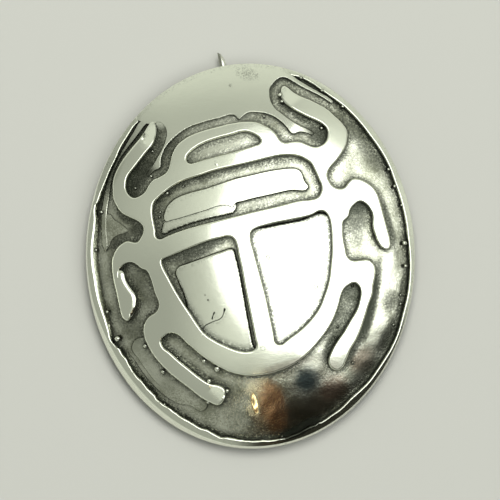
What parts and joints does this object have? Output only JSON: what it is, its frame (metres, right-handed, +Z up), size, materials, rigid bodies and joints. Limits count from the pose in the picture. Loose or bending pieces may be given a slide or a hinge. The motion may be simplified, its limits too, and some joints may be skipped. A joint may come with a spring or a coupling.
{
  "type": "silver brooch",
  "caption": "Domed oval cast silver brooch with a raised scarab beetle, sunk blackened ground, a narrow rim, and a plain pin with soldered hinge block and catch behind.",
  "frame": {"origin": "on the surface that the brooch lies on, under the middle of the whole brooch with its pin", "axes": "+Y along the oval's long axis towards the beetle's head, +X to the beetle's right side as seen from the front with the head up, +Z up out of the domed face"},
  "size_m": [0.041, 0.0496, 0.0076],
  "materials": {
    "cast_silver": "hand-finished cast silver: polished bars and rim, blackened grainy ground",
    "pin_wire": "drawn hard silver wire, softly polished"
  },
  "bodies": {
    "root": {"cast_plate": "cast_silver", "pin": "pin_wire"}
  },
  "joints": []
}
